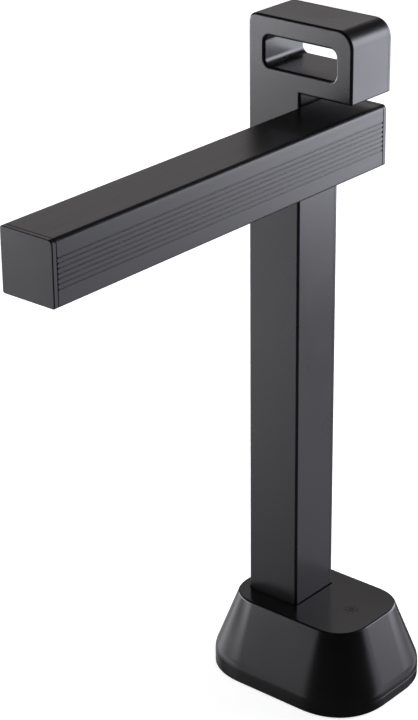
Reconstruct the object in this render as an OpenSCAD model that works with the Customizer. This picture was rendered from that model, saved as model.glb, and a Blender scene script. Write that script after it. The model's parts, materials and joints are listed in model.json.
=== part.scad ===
// Folding document camera: a flared, weighted foot, a square column that ends in a
// carrying handle, and a camera arm that folds down beside the column on a friction hinge.
// Origin: centre of the foot, on the table. +X is the arm's side, -Y the front, +Z up.

/* [Foot] */
// Width of the foot at its skirt
foot_w = 101; // [99:1:108]
// Depth of the foot at its skirt
foot_d = 78; // [77:1:84]
// Corner radius of the skirt
skirt_r = 28; // [26:1:29]
// Height of the foot's flat top above the table
foot_top = 42; // [42:0.5:45]
// Width of the flat top
top_w = 77.8; // [77:0.2:80]
// Depth of the flat top
top_d = 54; // [54:1:58]
// Corner radius of the flat top
top_r = 17; // [16:0.5:18]
// Height of the skirt's upper edge above the table
skirt_top = 10; // [9:0.5:11]
// Height of the seam between the shell and the cover above the table
seam_z = 5.8; // [5.6:0.1:6.4]
// Wall thickness of the plastic shells
wall = 2.2; // [2:0.1:2.4]

/* [Column and handle] */
// Side of the square column
col_w = 30.4; // [30:0.1:30.6]
// Sideways place of the column's centre
col_x = -16.8; // [-17:0.1:-16.7]
// Height of the handle's top above the table
head_top = 348.4; // [346:0.4:356]
// Height of the head that holds the handle slot
head_h = 34.4; // [34:0.2:36]
// Width of the handle slot
slot_w = 41.6; // [40:0.2:42]
// Height of the handle slot
slot_h = 14.8; // [14:0.2:16]

/* [Arm] */
// Height of the hinge axis above the table
hinge_z = 293.5; // [291:0.5:294]
// Height of the arm's section
arm_h = 29.6; // [28.8:0.2:30]
// Distance from the hinge axis to the arm's front end
arm_reach = 211.2; // [208:0.1:214]
// Distance from the hinge axis to the arm's rear end
arm_tail = 12.3; // [11:0.1:12.5]
// Wall thickness of the arm's extrusion
arm_wall = 1.8; // [1.7:0.1:1.9]
// Distance from one side groove to the next
groove_pitch = 2.26; // [2:0.02:2.4]

/* [Hidden] */
$fn = 48;
eps = 0.01;
// How far a cut runs past the face that it opens
over = 1;
arc_steps = 8;

// Colours
shell_black = "#2a2a2d";
satin_black = "#38383c";
rubber_black = "#17171a";
board_green = "#1f5a3a";
chip_black = "#141416";
steel = "#b4b6ba";

// Foot: heights and places
pad_h = 0.5;
pad_sunk = 0.8;
pad_edge = 6.5;
pad_w = foot_w - 2 * pad_edge;
pad_d = foot_d - 2 * pad_edge;
pad_r = skirt_r - pad_edge;
floor_top = 4.4;
ballast_z = 4.6;
ballast_top = 16.6;
ballast_w = 88;
ballast_d = 66;
ballast_r = 22;
lip_top = seam_z + 2;
lip_gap = 0.2;
lip_wall = 1.4;
boss_r = 3.5;
boss_x = 30;
boss_y = 19.5;
screw_r = 1.5;
screw_head_r = 2.6;
base_head_h = 1.4;
base_screw_end = 26;
screw_gap = 0.1;
screw_head_gap = 0.3;
top_edge = 0.8;

// Column: faces and heights
col_l = col_x - col_w / 2;
col_r = col_x + col_w / 2;
col_back = col_w / 2;
col_z = 28;
rear_cover_t = 2.5;
shell_back = col_back - rear_cover_t;
head_z = head_top - head_h;
head_r = 28.2;
head_left_r = 4.5;
head_right_r = 8;
head_low_r = 1;
slot_x = -1.9;
slot_z = head_top - 17.15;
slot_r = 3.4;
slot_wall = 2;
socket_gap = 0.4;
spine_l = -25.6;
spine_r = -4;
spine_half = 9;
spine_wall = 1.8;
spine_z = 19.6;
spine_top = hinge_z + 15.5;
foot_plate_y = col_back + 0.5;
foot_tongue_top = spine_z + 18;
foot_screw_x = [-22, -10.2];
foot_screw_y = 12.3;
spine_screw_x = [-19, -10.6];
spine_screw_z = 29;
web_screw_x = (spine_l + spine_r) / 2;
web_screw_z = [70, 160, 250];
small_screw_r = 1;
small_head_r = 1.9;
web_sink = 1.5;
head_sink = 1.2;
head_screws = [[(head_r - wall + slot_x + slot_w / 2 + slot_wall) / 2, slot_z],
               [col_x, slot_z - slot_h / 2 - slot_wall - 2]];

// Main board and USB socket
board_l = 2;
board_r = 26;
board_z = 21;
board_top = 22.4;
board_y = [-26, 27];
spacer_x = [5, 23];
spacer_y = [-22, 16];
port_x = 14;
port_z = board_top + 1.7;
port_w = 12.8;
port_h = 7.1;
port_wall = 1.3;
port_y = 30;
usb_w = 9;
usb_h = 3.3;
usb_r = 1.6;
usb_sheet = 0.33;
usb_y = 22.5;
usb_floor_y = 24;
tongue_w = 6.7;
tongue_h = 0.7;
tongue_y = 29;
touch_x = 22.5;
touch_z = foot_top - wall - 0.2;
touch_lead_y = -8;
touch_board_w = 24;
touch_board_d = 22;
touch_board_t = 1.2;
symbol_r = 1.5;
symbol_line = 0.5;
ray_from = 2.2;
ray_to = 3.6;
print_t = 0.1;

// Hinge, along X
shaft_r = 5;
shaft_bore_r = 2.6;
shaft_end = -16.5;
bush_r = 7;
bush_bore_r = shaft_r + 0.05;
bush_flange_r = 8.5;
bush_flange_x = -8;
nut_x = -15.5;
spring_x = -12;
stop_x = -10.2;
stop_face = -8.95;
pin_r = 1.5;
pin_circle = 10.3;
pin_angles = [120, 255];
tab_angle = 142.5;
tab_w = 4.2;
tab_tip = 11.6;
flange_x = 3.3;
flange_y = [-18, 5];
flange_half = 10;
hinge_bay = 13.5;
spring_r = 7.5;
spring_h = 0.9;
washer_r = 11;
friction_r = 8;
washer_gap = 0.05;
spine_screw_end = 3.2;
rear_screw_end = 4;

// Arm: faces
arm_l = -1;
arm_r = head_r;
arm_x = (arm_l + arm_r) / 2;
arm_top = hinge_z + arm_h / 2;
arm_bottom = hinge_z - arm_h / 2;
arm_edge_r = 1.5;
cap_t = 2.5;
cap_tongue = 5;
cap_tongue_w = 14;
cap_tongue_t = 1.5;
housing_y0 = -arm_reach + cap_t;
housing_y1 = arm_tail - cap_t;
in_l = arm_l + arm_wall;
in_r = arm_r - arm_wall;
groove_w = 0.8;
groove_deep = 0.4;
grooves_a_side = 7;
cover_z = arm_bottom + 0.4;
cover_top = cover_z + 2;
cover_gap = 0.1;
cover_sink = 1.1;
hinge_screw_y = [-14.5, 1.5];
hinge_screw_z = 7.2;
hinge_screw_r = 1.25;
cover_screw_x = [in_l + 2.8, in_r - 2.8];
cover_screw_y = [-200, -30];

// Camera, lamp and boards in the arm
cam_y = -190;
window_r = 8;
window_t = 1.2;
window_ledge = 1.4;
barrel_r = 5.5;
barrel_bore_r = 2.5;
lens_r = 4;
lens_seat = 3;
barrel_z = cover_top + 0.5;
holder_z = hinge_z - 4.5;
sensor_z = hinge_z + 0.5;
sensor_top = sensor_z + 1.2;
camera_screw_x = [arm_x - 8.2, arm_x + 8.2];
camera_head_r = 1.7;
bracket_t = 2;
lamp_y0 = -163;
lamp_y1 = -57;
lamp_w = 12;
lamp_wall = 1;
lamp_z = hinge_z - 8.5;
led_count = 9;
led_pitch = 12;
lamp_board_t = 1.2;
flex_w = 7;
proc_z = hinge_z - 2;
proc_top = proc_z + 1.2;
proc_y = [-112, -46];
proc_x = [4, 23];
post_x = [5.5, 21.7];
post_r = 0.9;

// Cable
cable_r = 1.2;
bend_r = 4.8;
cable_x = shaft_end - 0.4;
cable_low = 24.6;
arm_bend_x = 8;

// Points of an arc from a0 to a1 about a centre
function arc(cx, cy, r, a0, a1) =
    [for (i = [0:arc_steps]) let(a = a0 + (a1 - a0) * i / arc_steps)
        [cx + r * cos(a), cy + r * sin(a)]];

// A rectangle with round corners about the origin
function round_rect(w, d, r) =
    concat(arc(w / 2 - r, d / 2 - r, r, 0, 90), arc(r - w / 2, d / 2 - r, r, 90, 180),
           arc(r - w / 2, r - d / 2, r, 180, 270), arc(w / 2 - r, r - d / 2, r, 270, 360));

function moved(points, dx, dy) = [for (p = points) p + [dx, dy]];

// The column and head seen from the front, drawn in by i all round
function head_outline(i, low) =
    concat([[col_l + i, low], [col_r - i, low], [col_r - i, head_z + i]],
           arc(head_r - max(head_low_r, i), head_z + max(head_low_r, i),
               max(head_low_r - i, 0.01), -90, 0),
           arc(head_r - head_right_r, head_top - head_right_r, head_right_r - i, 0, 90),
           arc(col_l + head_left_r, head_top - head_left_r, head_left_r - i, 90, 180));

function slot_outline(grow) =
    moved(round_rect(slot_w + 2 * grow, slot_h + 2 * grow, slot_r + grow), slot_x, slot_z);

// The arm's section: square below, round at its two upper edges
arm_outline = concat([[arm_l, arm_bottom], [arm_r, arm_bottom]],
                     arc(arm_r - arm_edge_r, arm_top - arm_edge_r, arm_edge_r, 0, 90),
                     arc(arm_l + arm_edge_r, arm_top - arm_edge_r, arm_edge_r, 90, 180));

// A block between two corners
module block(low, high) translate(low) cube(high - low);

// A flat slab with round corners between two heights
module slab(w, d, r, z0, z1)
    translate([0, 0, z0]) linear_extrude(z1 - z0) polygon(round_rect(w, d, r));

// An outline in X and Z, carried from y0 to y1
module upright(points, y0, y1)
    translate([0, y1, 0]) rotate([90, 0, 0]) linear_extrude(y1 - y0) polygon(points);

// A cylinder along +Y from y0 to y1, and one along +X from x0 to x1
module rod_y(x, z, r, y0, y1)
    translate([x, y0, z]) rotate([-90, 0, 0]) cylinder(r = r, h = y1 - y0);

module rod_x(y, z, r, x0, x1)
    translate([x0, y, z]) rotate([0, 90, 0]) cylinder(r = r, h = x1 - x0);

module rod_z(x, y, r, z0, z1)
    translate([x, y, z0]) cylinder(r = r, h = z1 - z0);

// A cylinder on the hinge axis
module axle(r, x0, x1) rod_x(0, hinge_z, r, x0, x1);

// A quarter bend of cable from angle a0, in the plane of its own X and Y
module elbow(a0)
    rotate([0, 0, a0]) rotate_extrude(angle = 90) translate([bend_r, 0]) circle(r = cable_r);

// A pan-head screw pointing up or down: head below z, shank to the end
module screw_z(x, y, r, head_r, z_head, z_face, z_end) {
    rod_z(x, y, head_r, min(z_head, z_face), max(z_head, z_face));
    rod_z(x, y, r, min(z_face, z_end), max(z_face, z_end));
}

// A screw from the back: head between y_face and y_head, shank forward to y_end
module screw_y(x, z, r, head_r, y_end, y_face, y_head) {
    rod_y(x, z, head_r, y_face, y_head);
    rod_y(x, z, r, y_end, y_face);
}

// ---------- Foot ----------

// The flared form, drawn in by side_in at the top and skirt_in at the skirt
module flared(side_in, skirt_in, z_top, z_low, edge) {
    hull() {
        slab(top_w - 2 * side_in - 2 * edge, top_d - 2 * side_in - 2 * edge,
             top_r - side_in - edge, z_top - eps, z_top);
        slab(top_w - 2 * side_in, top_d - 2 * side_in, top_r - side_in,
             z_top - edge - eps, z_top - edge);
        slab(foot_w - 2 * skirt_in, foot_d - 2 * skirt_in, skirt_r - skirt_in,
             z_low, skirt_top);
    }
}

module column_hole()
    block([col_l - socket_gap, -col_back - socket_gap, foot_top - wall - over],
          [col_r + socket_gap, col_back + socket_gap, foot_top + over]);

// The USB socket's outline, grown all round
function usb_outline(grow) =
    moved(round_rect(usb_w + 2 * grow, usb_h + 2 * grow, usb_r + grow), port_x, port_z);

module port_block(grow, y0, y1)
    block([port_x - port_w / 2 - grow, y0, port_z - port_h / 2 - grow],
          [port_x + port_w / 2 + grow, y1, port_z + port_h / 2 + grow]);

module base_shell() color(shell_black) difference() {
    union() {
        difference() {
            flared(0, 0, foot_top, seam_z, top_edge);
            flared(1.6, wall, foot_top - wall, seam_z - over, 0);
        }
        for (x = [-boss_x, boss_x], y = [-boss_y, boss_y])
            rod_z(x, y, boss_r, ballast_top, foot_top - wall / 2);
        intersection() {
            flared(0, 0, foot_top, seam_z, top_edge);
            port_block(port_wall, port_y - port_wall, foot_d);
        }
    }
    column_hole();
    port_block(0, port_y, foot_d);
    upright(usb_outline(0.2), port_y - 2, port_y + over);
    for (x = [-boss_x, boss_x], y = [-boss_y, boss_y])
        rod_z(x, y, screw_r, ballast_top - over, base_screw_end + over);
}

module base_cover() color(shell_black) difference() {
    union() {
        slab(foot_w, foot_d, skirt_r, pad_h, seam_z);
        slab(foot_w - 2 * (wall + lip_gap), foot_d - 2 * (wall + lip_gap),
             skirt_r - wall - lip_gap, seam_z - 1, lip_top);
    }
    slab(foot_w - 2 * (wall + lip_gap + lip_wall), foot_d - 2 * (wall + lip_gap + lip_wall),
         skirt_r - wall - lip_gap - lip_wall, floor_top, lip_top + over);
    slab(pad_w, pad_d, pad_r, 0, pad_h + pad_sunk);
    for (x = [-boss_x, boss_x], y = [-boss_y, boss_y]) {
        rod_z(x, y, screw_r + screw_gap, 0, floor_top + over);
        rod_z(x, y, screw_head_r + screw_head_gap, 0, pad_h + pad_sunk + base_head_h);
    }
}

module rubber_pad() color(rubber_black) slab(pad_w, pad_d, pad_r, 0, pad_h + pad_sunk);

module ballast_plate() color("#6a6d72") difference() {
    slab(ballast_w, ballast_d, ballast_r, ballast_z, ballast_top);
    for (x = [-boss_x, boss_x], y = [-boss_y, boss_y])
        rod_z(x, y, screw_r + 0.5, ballast_z - over, ballast_top + over);
    for (x = foot_screw_x, y = [-foot_screw_y, foot_screw_y])
        rod_z(x, y, screw_r, ballast_top - 8, ballast_top + over);
    for (x = spacer_x, y = spacer_y)
        rod_z(x, y, small_screw_r, ballast_top - 5, ballast_top + over);
}

module base_screws() color(steel)
    for (x = [-boss_x, boss_x], y = [-boss_y, boss_y])
        screw_z(x, y, screw_r, screw_head_r, pad_h + pad_sunk,
                pad_h + pad_sunk + base_head_h, base_screw_end);

module main_board() color(board_green) difference() {
    block([board_l, board_y[0], board_z], [board_r, board_y[1], board_top]);
    for (x = spacer_x, y = spacer_y)
        rod_z(x, y, small_screw_r + 0.2, board_z - over, board_top + over);
}

// A chip or connector standing on a board, about its centre
module chip(x, y, z, size)
    translate([x - size.x / 2, y - size.y / 2, z]) cube(size);

module board_parts() color(chip_black) {
    chip(board_l + 2.7, 0, board_top, [5, 8, 4.2]);
    chip(12, -14, board_top, [12, 12, 1.4]);
    chip(14, 12, board_top, [7, 7, 1]);
    chip(touch_x - 2.5, touch_lead_y, board_top, [5, 3, 2.5]);
    for (y = [-1, 4]) rod_z(22.5, y, 2, board_top, board_top + 5);
}

module board_spacers() color("#d8d4c8")
    for (x = spacer_x, y = spacer_y) difference() {
        rod_z(x, y, 2.4, ballast_top, board_z);
        rod_z(x, y, small_screw_r + screw_gap, ballast_top - over, board_z + over);
    }

module board_screws() color(steel)
    for (x = spacer_x, y = spacer_y)
        screw_z(x, y, small_screw_r, small_head_r, board_top + 1.3, board_top,
                ballast_top - 4.5);

module usb_socket() color(steel) {
    difference() {
        upright(usb_outline(0), usb_y, port_y);
        upright(usb_outline(-usb_sheet), usb_floor_y, port_y + over);
    }
    block([port_x - tongue_w / 2, usb_floor_y - 0.5, port_z - tongue_h / 2],
          [port_x + tongue_w / 2, tongue_y, port_z + tongue_h / 2]);
}

module touch_board() color(board_green)
    block([touch_x - touch_board_w / 2, -touch_board_d / 2, touch_z - touch_board_t],
          [touch_x + touch_board_w / 2, touch_board_d / 2, touch_z]);

module touch_lead() color("#c8c8c8")
    rod_z(touch_x - 2.5, touch_lead_y, 0.8, board_top + 2.5, touch_z - touch_board_t);

// A sun for the lamp key, printed on the foot's top
module touch_symbol() color("#0c0c0d") translate([touch_x, 0, foot_top]) {
    difference() {
        cylinder(r = symbol_r, h = print_t);
        translate([0, 0, -over]) cylinder(r = symbol_r - symbol_line, h = 2 * over);
    }
    for (a = [0:45:315]) rotate([0, 0, a])
        block([ray_from, -symbol_line / 2, 0], [ray_to, symbol_line / 2, print_t]);
}

// ---------- Column ----------

module column_foot() color(steel) difference() {
    union() {
        block([col_l, -foot_plate_y, ballast_top], [col_r, foot_plate_y, spine_z]);
        block([spine_l + spine_wall + 0.2, 3, spine_z - over],
              [spine_r - spine_wall - 0.2, spine_half - spine_wall, foot_tongue_top]);
    }
    for (x = foot_screw_x, y = [-foot_screw_y, foot_screw_y])
        rod_z(x, y, screw_r + screw_gap, ballast_top - over, spine_z + over);
    for (x = spine_screw_x) rod_y(x, spine_screw_z, screw_r, 2, spine_half);
}

module foot_screws() color(steel)
    for (x = foot_screw_x, y = [-foot_screw_y, foot_screw_y])
        screw_z(x, y, screw_r, screw_head_r, spine_z + 2, spine_z, ballast_top - 7);

module column_spine() color("#9a9da3") difference() {
    block([spine_l, -spine_half, spine_z], [spine_r, spine_half, spine_top]);
    block([spine_l + spine_wall, -spine_half - over, spine_z - over],
          [spine_r - spine_wall, spine_half - spine_wall, spine_top + over]);
    block([spine_l + spine_wall, 0, hinge_z - hinge_bay],
          [spine_r - spine_wall, spine_half + over, hinge_z + hinge_bay]);
    block([spine_r - spine_wall - over, -4, spine_z - over],
          [spine_r + over, 4, cable_low + 4]);
    axle(bush_r, spine_r - spine_wall - over, spine_r + over);
    for (a = pin_angles)
        rod_x(pin_circle * cos(a), hinge_z + pin_circle * sin(a), pin_r,
              spine_r - spine_wall - over, spine_r + over);
    for (x = spine_screw_x)
        rod_y(x, spine_screw_z, screw_r + screw_gap, 0, spine_half + over);
    for (z = web_screw_z) rod_y(web_screw_x, z, screw_r, 0, spine_half + over);
}

module spine_screws() color(steel)
    for (x = spine_screw_x)
        screw_y(x, spine_screw_z, screw_r, screw_head_r, spine_screw_end, spine_half,
                spine_half + 2);

module column_shell() color(satin_black) difference() {
    union() {
        difference() {
            upright(head_outline(0, col_z), -col_back, shell_back);
            upright(head_outline(wall, col_z - over), -col_back + wall, shell_back + over);
        }
        upright(slot_outline(slot_wall), -col_back + wall / 2, shell_back);
        for (p = head_screws)
            rod_y(p.x, p.y, small_head_r + 0.3, -col_back + wall / 2, shell_back);
    }
    upright(slot_outline(0), -col_back - over, shell_back + over);
    axle(bush_r + 0.3, col_r - wall - over, col_r + over);
    for (p = head_screws) rod_y(p.x, p.y, small_screw_r, 2, shell_back + over);
}

module column_rear_cover() color(satin_black) difference() {
    union() {
        upright(head_outline(0, col_z), shell_back, col_back);
        for (z = web_screw_z) rod_y(web_screw_x, z, boss_r, spine_half, shell_back + over);
    }
    upright(slot_outline(0), shell_back - over, col_back + over);
    for (z = web_screw_z) {
        rod_y(web_screw_x, z, screw_r + screw_gap, spine_half - over, col_back + over);
        rod_y(web_screw_x, z, screw_head_r + screw_head_gap, col_back - web_sink,
              col_back + over);
    }
    for (p = head_screws) {
        rod_y(p.x, p.y, small_screw_r + screw_gap, shell_back - over, col_back + over);
        rod_y(p.x, p.y, small_head_r + 0.2, col_back - head_sink, col_back + over);
    }
}

module rear_cover_screws() color("#2c2c2e") {
    for (z = web_screw_z)
        screw_y(web_screw_x, z, screw_r, screw_head_r, rear_screw_end, col_back - web_sink,
                col_back - 0.1);
    for (p = head_screws)
        screw_y(p.x, p.y, small_screw_r, small_head_r, rear_screw_end,
                col_back - head_sink, col_back - 0.1);
}

module column_cable() color("#1a1a1a") {
    axle(cable_r, cable_x, arm_l - 0.2);
    translate([cable_x, 0, hinge_z - bend_r]) rotate([90, 0, 0]) elbow(90);
    rod_z(cable_x - bend_r, 0, cable_r, cable_low + bend_r, hinge_z - bend_r);
    translate([cable_x, 0, cable_low + bend_r]) rotate([90, 0, 0]) elbow(180);
    rod_x(0, cable_low, cable_r, cable_x, board_l + 0.2);
}

// ---------- Hinge ----------

module hinge_bush() color("#e4e0d4") difference() {
    union() {
        axle(bush_flange_r, bush_flange_x, spine_r - spine_wall);
        axle(bush_r, spine_r - spine_wall - eps, col_r + 0.3);
    }
    axle(bush_bore_r, bush_flange_x - over, col_r + over);
}

module thrust_washer() color("#e4e0d4") difference() {
    axle(washer_r, col_r + washer_gap, arm_l - washer_gap);
    axle(bush_r + 0.3, col_r - over, arm_l + over);
}

module friction_washer() color("#8a6a3c") difference() {
    axle(friction_r, stop_face + washer_gap, bush_flange_x - washer_gap);
    axle(shaft_r + 0.4, stop_face - over, bush_flange_x + over);
}

module stop_pins() color(steel)
    for (a = pin_angles)
        rod_x(pin_circle * cos(a), hinge_z + pin_circle * sin(a), pin_r, stop_x - 0.8, spine_r);

module hinge_shaft() color(steel) difference() {
    union() {
        axle(shaft_r, shaft_end, in_l + over);
        block([in_l, flange_y[0], hinge_z - flange_half],
              [flange_x, flange_y[1], hinge_z + flange_half]);
    }
    axle(shaft_bore_r, shaft_end - over, flange_x + over);
    for (y = hinge_screw_y, z = [-hinge_screw_z, hinge_screw_z])
        rod_x(y, hinge_z + z, hinge_screw_r, in_l - over, flange_x + over);
}

module stop_washer() color("#9a9da3") difference() {
    union() {
        axle(spring_r, stop_x, stop_face);
        translate([stop_x, 0, hinge_z]) rotate([tab_angle, 0, 0])
            block([0, shaft_r + 1, -tab_w / 2], [stop_face - stop_x, tab_tip, tab_w / 2]);
    }
    axle(shaft_r, stop_x - over, stop_face + over);
}

// Two cupped washers, rim to rim
module disc_springs() color(steel) translate([stop_x, 0, hinge_z]) rotate([0, -90, 0])
    for (flip = [0, 1]) translate([0, 0, 2 * spring_h * flip]) mirror([0, 0, flip])
        rotate_extrude() polygon([[shaft_r + 0.05, 0], [shaft_r + 0.5, 0],
                                  [spring_r, spring_h / 2], [spring_r, spring_h - eps],
                                  [spring_r - 0.3, spring_h - eps],
                                  [shaft_r + 0.05, spring_h - 0.4]]);

module hinge_nut() color(steel) difference() {
    translate([nut_x, 0, hinge_z]) rotate([0, 90, 0])
        cylinder(r = spring_r, h = spring_x - nut_x, $fn = 6);
    axle(shaft_r, nut_x - over, spring_x + over);
}

// A countersunk screw in the arm's left wall, grown for its own hole
module sunk_screw(y, z, grow) {
    translate([arm_l, y, z]) rotate([0, 90, 0])
        cylinder(r1 = 2.4 + grow, r2 = hinge_screw_r + grow, h = 1.2);
    rod_x(y, z, hinge_screw_r + grow, arm_l + 0.5, flange_x);
}

module hinge_screws() color(steel)
    for (y = hinge_screw_y, z = [-hinge_screw_z, hinge_screw_z])
        sunk_screw(y, hinge_z + z, 0);

// ---------- Arm ----------

module side_grooves()
    for (i = [0:grooves_a_side - 1])
        let(z = hinge_z + (i - (grooves_a_side - 1) / 2) * groove_pitch - groove_w / 2) {
            block([arm_r - groove_deep, housing_y0 - over, z],
                  [arm_r + over, housing_y1 + over, z + groove_w]);
            block([arm_l - over, housing_y0 - over, z],
                  [arm_l + groove_deep, housing_y1 + over, z + groove_w]);
        }

module arm_housing() color(satin_black) difference() {
    union() {
        difference() {
            upright(arm_outline, housing_y0, housing_y1);
            block([in_l, housing_y0 - over, arm_bottom - over],
                  [in_r, housing_y1 + over, arm_top - arm_wall]);
        }
        for (x = cover_screw_x, y = cover_screw_y)
            chip(x, y, cover_top + 0.1, [5.6, 6, 7]);
    }
    side_grooves();
    axle(shaft_r + 0.3, arm_l - over, in_l + over);
    for (y = hinge_screw_y, z = [-hinge_screw_z, hinge_screw_z])
        sunk_screw(y, hinge_z + z, 0.05);
    for (x = cover_screw_x, y = cover_screw_y)
        rod_z(x, y, small_screw_r, cover_top - over, cover_top + 6);
}

module cap(y0, y1, tongue_y0, tongue_y1) {
    upright(arm_outline, y0, y1);
    block([arm_x - cap_tongue_w / 2, tongue_y0, arm_top - arm_wall - cap_tongue_t],
          [arm_x + cap_tongue_w / 2, tongue_y1, arm_top - arm_wall - cover_gap]);
}

module arm_front_cap() color(satin_black)
    cap(-arm_reach, housing_y0, housing_y0 - over, housing_y0 + cap_tongue);

module arm_rear_cap() color(satin_black)
    cap(housing_y1, arm_tail, housing_y1 - cap_tongue, housing_y1 + over);

// The lamp's rectangle in plan, grown all round
module lamp_slab(grow, z0, z1)
    translate([arm_x, (lamp_y0 + lamp_y1) / 2, 0])
        slab(lamp_w + 2 * grow, lamp_y1 - lamp_y0 + 2 * grow, 2 + grow, z0, z1);

module arm_bottom_cover() color(shell_black) difference() {
    union() {
        block([in_l + cover_gap, housing_y0 + cover_gap, cover_z],
              [in_r - cover_gap, housing_y1 - cover_gap, cover_top]);
        for (x = post_x, y = [proc_y[0] + 4, proc_y[1] - 4])
            rod_z(x, y, post_r, cover_top - over, proc_z);
    }
    lamp_slab(0, cover_z - over, cover_top + over);
    rod_z(arm_x, cam_y, window_r, cover_z - over, cover_z + window_t);
    rod_z(arm_x, cam_y, window_r - window_ledge, cover_z - over, cover_top + over);
    for (x = cover_screw_x, y = cover_screw_y) {
        rod_z(x, y, small_screw_r + screw_gap, cover_z - over, cover_top + over);
        rod_z(x, y, small_head_r + 0.2, cover_z - over, cover_z + cover_sink);
    }
}

module arm_cover_screws() color("#2c2c2e")
    for (x = cover_screw_x, y = cover_screw_y)
        screw_z(x, y, small_screw_r, small_head_r, cover_z + 0.1, cover_z + cover_sink,
                cover_top + 5);

module camera_window() color("#101418", 0.7)
    rod_z(arm_x, cam_y, window_r, cover_z, cover_z + window_t);

module lens_barrel() color(chip_black) difference() {
    rod_z(arm_x, cam_y, barrel_r, barrel_z, holder_z);
    rod_z(arm_x, cam_y, lens_r, barrel_z - over, barrel_z + lens_seat);
    rod_z(arm_x, cam_y, barrel_bore_r, barrel_z, holder_z + over);
}

module lens_glass() color("#46506a", 0.8) translate([arm_x, cam_y, barrel_z]) intersection() {
    translate([0, 0, 0.6]) cylinder(r = lens_r, h = lens_seat - 0.6);
    translate([0, 0, 8.6]) sphere(r = 8);
}

module lens_holder() color(chip_black) difference() {
    chip(arm_x, cam_y, holder_z, [12, 12, sensor_z - holder_z]);
    chip(arm_x, cam_y, holder_z + 1, [9, 9, 10]);
    rod_z(arm_x, cam_y, barrel_bore_r, holder_z - over, sensor_z);
}

module sensor_board() color(board_green) difference() {
    chip(arm_x, cam_y, sensor_z, [20, 16, sensor_top - sensor_z]);
    for (x = camera_screw_x)
        rod_z(x, cam_y, small_screw_r + screw_gap, sensor_z - over, sensor_top + over);
}

module image_sensor() color("#22242c")
    chip(arm_x, cam_y, sensor_z - 0.9, [7, 6, 0.9]);

module camera_bracket() color(shell_black) difference() {
    union() {
        block([in_l + 0.2, cam_y - 7, sensor_top],
              [in_r - 0.2, cam_y + 7, sensor_top + bracket_t]);
        for (x = [in_l + 0.2, in_r - 2])
            block([x, cam_y - 6, cover_top], [x + 1.8, cam_y + 6, sensor_top + over]);
    }
    for (x = camera_screw_x)
        rod_z(x, cam_y, small_screw_r, sensor_z, sensor_top + bracket_t + over);
}

module camera_screws() color(steel)
    for (x = camera_screw_x)
        screw_z(x, cam_y, small_screw_r, camera_head_r, sensor_z - 1.1, sensor_z,
                sensor_top + bracket_t - 0.2);

module sensor_flex() color("#b8862c")
    block([arm_x - flex_w / 2, cam_y + 8, sensor_z + 0.4],
          [arm_x + flex_w / 2, proc_y[0], sensor_z + 0.7]);

module lamp_board() color("#e8e8e4")
    block([arm_x - lamp_w / 2 - lamp_wall, lamp_y0 - 2, lamp_z],
          [arm_x + lamp_w / 2 + lamp_wall, lamp_y1 + 2, lamp_z + lamp_board_t]);

module lamp_leds() color("#f4e9a0")
    for (i = [0:led_count - 1])
        chip(arm_x, (lamp_y0 + lamp_y1) / 2 + (i - (led_count - 1) / 2) * led_pitch,
             lamp_z - 0.8, [2.8, 3.5, 0.8]);

module lamp_diffuser() color("#f2f2ee", 0.9) difference() {
    union() {
        lamp_slab(0, cover_z, cover_top + 0.5);
        lamp_slab(lamp_wall, cover_top, lamp_z);
    }
    lamp_slab(-0.4, cover_z + 1.4, lamp_z + over);
}

module processor_board() color(board_green)
    block([proc_x[0], proc_y[0], proc_z], [proc_x[1], proc_y[1], proc_top]);

module processor_parts() color(chip_black) {
    chip(arm_x, -78, proc_top, [14, 14, 1.4]);
    chip(arm_x, -96, proc_top, [9, 11, 1]);
    chip(arm_x, proc_y[0] + 3, proc_top, [9, 6, 2.5]);
    chip(arm_bend_x + bend_r, proc_y[1] - 3, proc_top, [6, 6, 2.6]);
}

module arm_cable() color("#1a1a1a") translate([0, 0, hinge_z]) {
    rod_x(0, 0, cable_r, arm_l, arm_bend_x);
    translate([arm_bend_x, -bend_r, 0]) elbow(0);
    rod_y(arm_bend_x + bend_r, 0, cable_r, proc_y[1], -bend_r);
}

base_shell();
base_cover();
rubber_pad();
ballast_plate();
base_screws();
main_board();
board_parts();
board_spacers();
board_screws();
usb_socket();
touch_board();
touch_lead();
touch_symbol();
column_foot();
foot_screws();
column_spine();
spine_screws();
column_shell();
column_rear_cover();
rear_cover_screws();
column_cable();
hinge_bush();
thrust_washer();
friction_washer();
stop_pins();
hinge_shaft();
stop_washer();
disc_springs();
hinge_nut();
hinge_screws();
arm_housing();
arm_front_cap();
arm_rear_cap();
arm_bottom_cover();
arm_cover_screws();
camera_window();
lens_barrel();
lens_glass();
lens_holder();
sensor_board();
image_sensor();
camera_bracket();
camera_screws();
sensor_flex();
lamp_board();
lamp_leds();
lamp_diffuser();
processor_board();
processor_parts();
arm_cable();
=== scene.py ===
"""Looks of the folding document camera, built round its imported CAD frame.

Lengths in the shape functions are millimetres in the CAD frame, as in the part's own source,
and every mesh is scaled to metres when its object is made.
"""
import json
import math

import bmesh
import bpy
from mathutils import Matrix, Vector

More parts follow.
